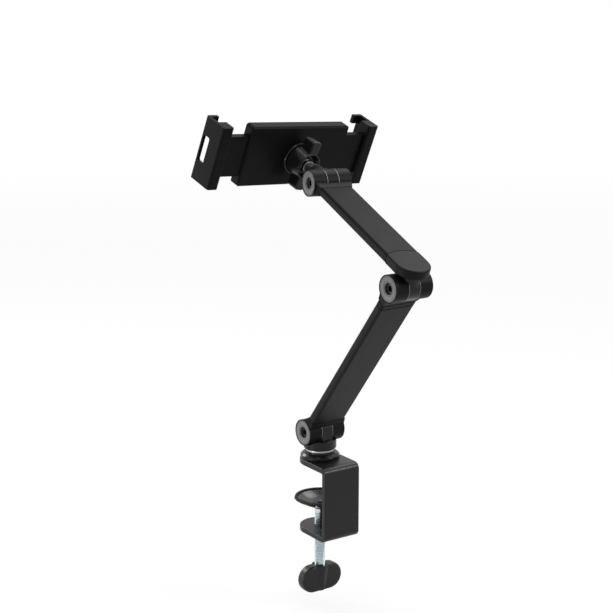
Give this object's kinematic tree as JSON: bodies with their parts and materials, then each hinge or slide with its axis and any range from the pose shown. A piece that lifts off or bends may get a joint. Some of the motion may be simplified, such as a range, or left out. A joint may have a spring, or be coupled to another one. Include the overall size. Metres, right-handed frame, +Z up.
{
  "type": "desktop tablet holder",
  "caption": "Desk-clamped tablet holder: screw clamp, turning base, hinged folding arms, a ball joint with a wing nut, and a rear shell with hooked jaws that slide together.",
  "frame": {"origin": "on the underside of the clamp's top plate, between the swivel bolt and the back wall", "axes": "+Z up, -Y towards the user and the tablet, +X towards the hinges' grey discs"},
  "size_m": [0.1925, 0.2575, 0.4388],
  "materials": {
    "clamp_steel": "satin black powder coat",
    "black_metal": "satin black paint",
    "arm_metal": "satin black anodised",
    "arm_plastic": "fine matte black",
    "grey_disc": "matte grey",
    "holder_plastic": "fine matte black",
    "zinc": "bright zinc",
    "black_steel": "black oxide",
    "steel": "plain",
    "bush_steel": "dark zinc",
    "nylon": "nylon",
    "rubber": "matte"
  },
  "bodies": {
    "clamp": {"clamp_bracket": "clamp_steel", "screw_bush": "bush_steel", "base_foot": "black_metal", "foot_dowels": "steel", "thrust_washer": "steel"},
    "pad": {"pressure_pad": "black_metal", "pad_rubber": "rubber"},
    "screw": {"clamp_screw": "zinc", "pad_clip": "black_steel", "clamp_knob": "arm_plastic", "knob_pin": "steel"},
    "swivel": {"base_swivel": "black_metal", "swivel_bolt": "black_metal"},
    "lower_arm": {"lower_arm_foot": "arm_plastic", "lower_arm_tube": "arm_metal", "lower_arm_collar": "arm_plastic", "lower_arm_head": "arm_plastic", "lower_arm_screws": "black_steel", "arm_bolts": "black_steel", "arm_nuts": "black_steel", "arm_washers": "steel", "arm_rings": "grey_disc", "arm_caps": "arm_plastic"},
    "elbow": {"elbow_boss": "black_metal", "boss_washer": "steel", "boss_clip": "black_steel"},
    "upper_arm": {"upper_arm_cap": "arm_plastic", "upper_arm_tube": "arm_metal", "upper_arm_head": "arm_plastic", "upper_arm_screws": "black_steel", "upper_bolt": "black_steel", "upper_nut": "black_steel", "upper_washers": "steel", "upper_ring": "grey_disc", "upper_cap": "arm_plastic"},
    "head": {"head_knuckle": "black_metal", "ball_stud": "zinc"},
    "ball_tilt": {"liner_front": "nylon"},
    "ball_turn": {"liner_rear": "nylon"},
    "holder": {"ball_socket": "holder_plastic", "socket_screws": "black_steel", "holder_back": "holder_plastic", "holder_front": "holder_plastic", "holder_screws": "black_steel", "front_pads": "rubber", "pinion_axle": "black_steel"},
    "wing_nut": {"wing_nut": "holder_plastic"},
    "pinion": {"pinion": "nylon"},
    "left_slide": {"left_bar": "holder_plastic", "left_jaw": "holder_plastic", "left_jaw_screws": "black_steel", "left_jaw_pad": "rubber"},
    "right_slide": {"right_bar": "holder_plastic", "right_jaw": "holder_plastic", "right_jaw_screws": "black_steel", "right_jaw_pad": "rubber"}
  },
  "joints": [
    {"name": "pad_lift", "type": "slide", "parent": "clamp", "child": "pad", "axis": [0, 0, 1], "range_m": [-0.012, 0.03]},
    {"name": "screw_turn", "type": "hinge", "parent": "pad", "child": "screw", "pos_m": [0, -0.018, -0.033], "axis": [0, 0, 1], "range_deg": [-2890, 7210]},
    {"name": "base_turn", "type": "hinge", "parent": "clamp", "child": "swivel", "pos_m": [0, -0.018, 0.031], "axis": [0, 0, 1], "continuous": true},
    {"name": "lower_hinge", "type": "hinge", "parent": "swivel", "child": "lower_arm", "pos_m": [0, -0.018, 0.031], "axis": [1, 0, 0], "range_deg": [-35, 70]},
    {"name": "elbow_hinge", "type": "hinge", "parent": "lower_arm", "child": "elbow", "pos_m": [0, 0.10526, 0.18596], "axis": [1, 0, 0], "range_deg": [-60, 30]},
    {"name": "elbow_turn", "type": "hinge", "parent": "elbow", "child": "upper_arm", "pos_m": [0, 0.11159, 0.20334], "axis": [0, 0.342, 0.9397], "continuous": true},
    {"name": "head_hinge", "type": "hinge", "parent": "upper_arm", "child": "head", "pos_m": [-0.01438, -0.02872, 0.25441], "axis": [0.9954, -0.0901, 0.0328], "range_deg": [-70, 55]},
    {"name": "ball_tilt", "type": "hinge", "parent": "head", "child": "ball_tilt", "pos_m": [-0.01887, -0.07381, 0.26689], "axis": [0.9906, 0.1199, 0.0653], "range_deg": [-11.96, 20.04]},
    {"name": "ball_turn", "type": "hinge", "parent": "ball_tilt", "child": "ball_turn", "pos_m": [-0.01887, -0.07381, 0.26689], "axis": [-0.1029, 0.3411, 0.9344], "range_deg": [-27.12, 4.88]},
    {"name": "holder_spin", "type": "hinge", "parent": "ball_turn", "child": "holder", "pos_m": [-0.01887, -0.07381, 0.26689], "axis": [-0.0898, 0.9324, -0.3502], "continuous": true},
    {"name": "nut_turn", "type": "hinge", "parent": "holder", "child": "wing_nut", "pos_m": [-0.01887, -0.07381, 0.26689], "axis": [-0.0898, 0.9324, -0.3502], "range_deg": [-10, 45]},
    {"name": "left_out", "type": "slide", "parent": "holder", "child": "left_slide", "axis": [0.9906, 0.1199, 0.0653], "range_m": [-0.014, 0.024]},
    {"name": "right_out", "type": "slide", "parent": "holder", "child": "right_slide", "axis": [-0.9906, -0.1199, -0.0653], "range_m": [-0.014, 0.024]},
    {"name": "pinion_turn", "type": "hinge", "parent": "holder", "child": "pinion", "pos_m": [-0.01887, -0.07381, 0.26689], "axis": [-0.0898, 0.9324, -0.3502], "range_deg": [-142, 242]}
  ],
  "couplings": [
    {"joint": "screw_turn", "follows": "pad_lift", "rad_per_m": 4188.8},
    {"joint": "right_out", "follows": "left_out", "ratio": 1},
    {"joint": "pinion_turn", "follows": "left_out", "rad_per_m": 174.53}
  ]
}
